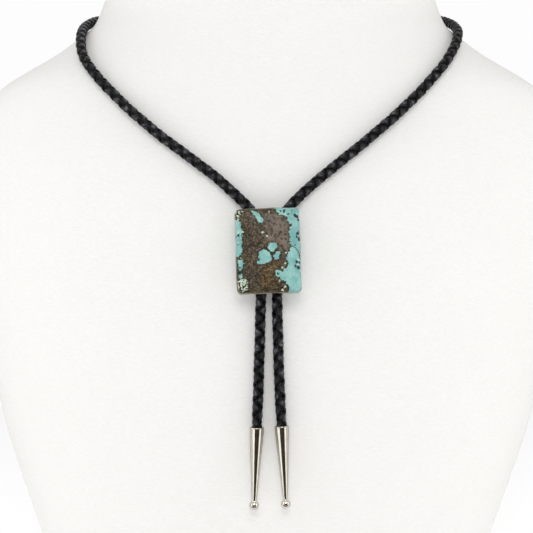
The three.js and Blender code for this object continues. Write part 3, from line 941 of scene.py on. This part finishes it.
def stone_material(settings):
    """Turquoise patches in brown matrix, placed by the mesh's attributes and broken up by noise."""
    shader = Shader("turquoise_stone")
    place = shader.coordinates()
    black = settings.dark_matrix
    broad = shader.noise(place, 260, 3)
    middle = shader.noise(place, 900, 4, 0.6)
    fine = shader.noise(place, 1600, 4, 0.6)
    mosaic = shader.noise(place, 1000, 3)
    cells = shader.node("TexVoronoi", 0, None, Vector=place, Scale=1200)
    clouds = shader.step(broad, 0.35, 0.65)

    ragged = shader.roughen(shader.attribute("turquoise_depth"), middle, 2.6)
    ragged = shader.roughen(ragged, fine, 1.0)
    turquoise = shader.step(ragged, -0.08, 0.12)
    rim = shader.math("SUBTRACT", shader.step(ragged, -0.55, -0.15), turquoise)

    brown = shader.cover(settings.matrix, black, 0.45, clouds)
    brown = shader.cover(brown, settings.gold, 0.85, shader.attribute("gold"))
    # A painted sheen of lighter purple-grey where the domed crown catches the light.
    brown = shader.cover(brown, settings.painted_purple_sheen, 0.95, shader.attribute("painted_purple_sheen"))
    brown = shader.cover(brown, settings.grey, 0.8, shader.attribute("grey"))
    grains = shader.math("MAXIMUM", shader.step(middle, 0.56, 0.72), shader.step(fine, 0.52, 0.62))
    brown = shader.cover(brown, settings.tan, 0.7, grains)
    brown = shader.cover(brown, black, 0.8, shader.step(middle, 0.49, 0.4))
    pits = shader.step(shader.math("MULTIPLY_ADD", cells, 0.35, fine), 0.52, 0.36)
    brown = shader.cover(brown, black, 0.85, pits)
    brown = shader.cover(brown, black, 0.6, rim)

    blue = shader.mix(clouds, settings.turquoise, settings.pale_turquoise)
    blue = shader.cover(blue, settings.pale, 0.4, shader.step(fine, 0.52, 0.7))
    blue = shader.cover(blue, black, 0.5, shader.step(middle, 0.37, 0.3))
    stone = shader.mix(turquoise, brown, blue)

    speckled = shader.step(shader.roughen(shader.attribute("speckled"), middle, 1.4), 0.35, 0.5)
    bits = shader.mix(shader.step(mosaic, 0.46, 0.54), black, settings.pale)
    stone = shader.cover(stone, bits, 0.9, speckled)
    pale = shader.step(shader.roughen(shader.attribute("pale_depth"), middle, 2.4), 0.0, 0.3)
    stone = shader.cover(stone, settings.pale, 0.8, pale)
    dark = shader.step(shader.roughen(shader.attribute("dark_depth"), middle, 2.4), -0.1, 0.1)
    stone = shader.cover(stone, black, 0.95, dark)
    vein = shader.step(shader.roughen(shader.attribute("vein_distance"), fine, 0.5), 0.26, 0.1)
    stone = shader.cover(stone, black, 0.8, vein)
    edge = shader.step(shader.math("MULTIPLY_ADD", fine, 0.5, shader.attribute("edge_depth")), 0.7, 0.4)
    stone = shader.cover(stone, settings.ground, 0.6, edge)

    holes = shader.math("MULTIPLY", pits, shader.math("SUBTRACT", 1.0, turquoise))
    hollow = shader.math("MAXIMUM", vein, holes)
    height = shader.math("SUBTRACT", shader.math("MULTIPLY", 0.3, fine), hollow)
    rough = shader.spread(hollow, 0.32, 0.6)
    normal = shader.bump(height, 0.05 * MM, 0.5)
    return shader.finish(Base_Color=stone, Roughness=rough, Normal=normal, Specular_IOR_Level=0.22)


class BOLO_OT_make_stone(bpy.types.Operator):
    """Shapes and colours the polished stone of the slide"""

    bl_idname = "bolo.make_stone"
    bl_label = "Stone"

    def execute(self, context):
        settings = context.scene.bolo_stone
        shape = StoneShape(settings)
        stone = new_piece("turquoise_stone", slab(shape), stone_material(settings))
        points = np.array([vert.co.xz for vert in stone.data.vertices]) / MM
        measures = stone_pattern(points)
        measures["edge_depth"] = shape.inset(*points.T * MM) / MM
        for name, values in measures.items():
            attribute = stone.data.attributes.new(name, "FLOAT", "POINT")
            attribute.data.foreach_set("value", values.astype(np.float32))
        stone.data.transform(shape.to_world())
        dress(stone, "slide_stone")
        return {"FINISHED"}


PLATE_FACING = 0.9  # how squarely a face looks to the front or the back to be the plate's flat
PLATE_EDGE = 0.2 * MM  # how far the plate's edges are softened
PLATE_EDGE_STEPS = 3
PLATE_CORNER_STEPS = 10
CHANNEL_RIM_STEPS = 8
CHANNEL_LENGTH = 12 * MM
CHANNEL_DROP = 2 * MM  # the channels' middle below the plate's


def round_off(bm, edges, radius, steps):
    bmesh.ops.bevel(
        bm, geom=edges, offset=radius, offset_type="OFFSET", segments=steps, affect="EDGES",
        profile=0.5, material=-1,
    )


def rounded_plate(bm, low, high, corner):
    """A plate with round corners and softened edges, between two corners of its box."""
    made = bmesh.ops.create_cube(bm, size=1)["verts"]
    stretch = Matrix.Diagonal((*(high - low), 1))
    bmesh.ops.transform(bm, matrix=Matrix.Translation((low + high) / 2) @ stretch, verts=made)
    half = (high.y - low.y) / 2
    through = [edge for edge in bm.edges if abs(edge.verts[0].co.y - edge.verts[1].co.y) > half]
    round_off(bm, through, corner, PLATE_CORNER_STEPS)
    rims = [
        edge for edge in bm.edges
        if len(edge.link_faces) == 2 and any(abs(face.normal.y) > PLATE_FACING for face in edge.link_faces)
    ]
    round_off(bm, rims, PLATE_EDGE, PLATE_EDGE_STEPS)


class BOLO_OT_make_clip(bpy.types.Operator):
    """Builds the plate and the two cord channels behind the stone"""

    bl_idname = "bolo.make_clip"
    bl_label = "Clip"

    def execute(self, context):
        settings = context.scene.bolo_clip
        low, high = box_in_slide("slide_clip")
        bore = context.scene.bolo_cord.diameter / 2 + settings.clearance
        outer = bore + settings.channel_wall
        edge = settings.channel_wall / 2
        bm = bmesh.new()
        plate_high = Vector((high.x, low.y + settings.plate_thickness, high.z))
        rounded_plate(bm, low, plate_high, settings.plate_corner)
        middle_x = (low.x + high.x) / 2
        middle_z = (low.z + high.z) / 2 - CHANNEL_DROP
        top, bottom = CHANNEL_LENGTH / 2 - edge, edge - CHANNEL_LENGTH / 2
        wall = (bore + outer) / 2
        upper_rim = arc((wall, top), edge, 0, 180, CHANNEL_RIM_STEPS)
        lower_rim = arc((wall, bottom), edge, 180, 360, CHANNEL_RIM_STEPS)
        section = [*upper_rim, *lower_rim, upper_rim[0]]
        for side in (-1, 1):
            channel = bmesh.new()
            spin_profile(channel, section)
            close_up(channel)
            across = middle_x + side * settings.channel_spacing / 2
            channel.transform(Matrix.Translation((across, high.y - outer, middle_z)))
            mesh = bpy.data.meshes.new("channel")
            channel.to_mesh(mesh)
            channel.free()
            bm.from_mesh(mesh)
            bpy.data.meshes.remove(mesh)
        bm.transform(slide_turn().to_4x4())
        metal = metal_material("clip_metal", settings, 0.22, (1, 0.2, 0.2))
        dress(new_piece("cord_clip", bm, metal), "slide_clip")
        return {"FINISHED"}


# The bust

GRAIN_STRETCH = (0.7, 0.7, 3.2)  # makes the grain's cells longer level than they are high
LEVEL_TOLERANCE = 0.01 * MM
BUST_SMOOTHINGS = 2


def leatherette_material(settings):
    """White leatherette: shallow grain cells under faint level streaks."""
    shader = Shader("white_leatherette")
    place = shader.coordinates()
    level = shader.coordinates(GRAIN_STRETCH)
    cells = shader.node("TexVoronoi", 0, None, Vector=level, Scale=1 / settings.grain)
    streaks = shader.noise(level, 700, 4, 0.6)
    cloud = shader.noise(place, 22, 2)
    white, shaded = settings.leatherette, settings.shaded
    tone = shader.cover(white, shaded, 0.6, shader.step(streaks, 0.35, 0.7))
    tone = shader.cover(tone, shaded, 0.3, cloud)
    coarse = shader.bump(cells, 0.05 * MM, 0.7)
    normal = shader.bump(streaks, 0.16 * MM, 0.9, coarse)
    return shader.finish(Base_Color=tone, Roughness=0.6, Normal=normal, Specular_IOR_Level=0.35)


class BOLO_OT_make_bust(bpy.types.Operator):
    """Smooths the neck bust and covers it in leatherette"""

    bl_idname = "bolo.make_bust"
    bl_label = "Bust"

    def execute(self, context):
        settings = context.scene.bolo_bust
        bm = bmesh.new()
        bm.from_mesh(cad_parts["neck_bust"].data)
        bmesh.ops.remove_doubles(bm, verts=bm.verts, dist=MERGE_DISTANCE)
        low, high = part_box("neck_bust")
        for level in (low.z, high.z):
            end = [
                face for face in bm.faces
                if all(abs(vert.co.z - level) < LEVEL_TOLERANCE for vert in face.verts)
            ]
            flat = bmesh.ops.dissolve_faces(bm, faces=end)["region"]
            bmesh.ops.inset_region(bm, faces=flat, thickness=settings.rim, use_even_offset=True)
        walls = [face for face in bm.faces if len(face.verts) == 3]
        bmesh.ops.join_triangles(
            bm, faces=walls, angle_face_threshold=math.pi, angle_shape_threshold=math.pi
        )
        bust = new_piece("leatherette_bust", bm, leatherette_material(settings))
        smooth = bust.modifiers.new("smooth", "SUBSURF")
        smooth.levels = BUST_SMOOTHINGS
        smooth.render_levels = BUST_SMOOTHINGS
        dress(bust, "neck_bust")
        return {"FINISHED"}


# The panel and the run

GROUPS = [
    ("Stage", "bolo_stage", StageSettings, BOLO_OT_make_stage),
    ("Tips", "bolo_tips", TipSettings, BOLO_OT_make_tips),
    ("Cord", "bolo_cord", CordSettings, BOLO_OT_make_cord),
    ("Stone", "bolo_stone", StoneSettings, BOLO_OT_make_stone),
    ("Clip", "bolo_clip", ClipSettings, BOLO_OT_make_clip),
    ("Bust", "bolo_bust", BustSettings, BOLO_OT_make_bust),
]


class BOLO_PT_panel(bpy.types.Panel):
    """Lists the pieces with their sizes and colours"""

    bl_idname = "BOLO_PT_panel"
    bl_label = "Bolo Tie"
    bl_space_type = "VIEW_3D"
    bl_region_type = "UI"
    bl_category = "Bolo Tie"

    def draw(self, context):
        for title, name, settings, operator in GROUPS:
            box = self.layout.box()
            box.label(text=title)
            for setting in settings.__annotations__:
                box.prop(getattr(context.scene, name), setting)
            box.operator(operator.bl_idname)


def register():
    for _, name, settings, operator in GROUPS:
        bpy.utils.register_class(settings)
        bpy.utils.register_class(operator)
        setattr(bpy.types.Scene, name, PointerProperty(type=settings))
    bpy.utils.register_class(BOLO_PT_panel)


def unregister():
    bpy.utils.unregister_class(BOLO_PT_panel)
    for _, name, settings, operator in reversed(GROUPS):
        delattr(bpy.types.Scene, name)
        bpy.utils.unregister_class(operator)
        bpy.utils.unregister_class(settings)


def main():
    register()
    bpy.ops.bolo.make_stage()
    bpy.ops.bolo.make_tips()
    bpy.ops.bolo.make_cord()
    bpy.ops.bolo.make_stone()
    bpy.ops.bolo.make_clip()
    bpy.ops.bolo.make_bust()


if __name__ == "__main__":
    main()
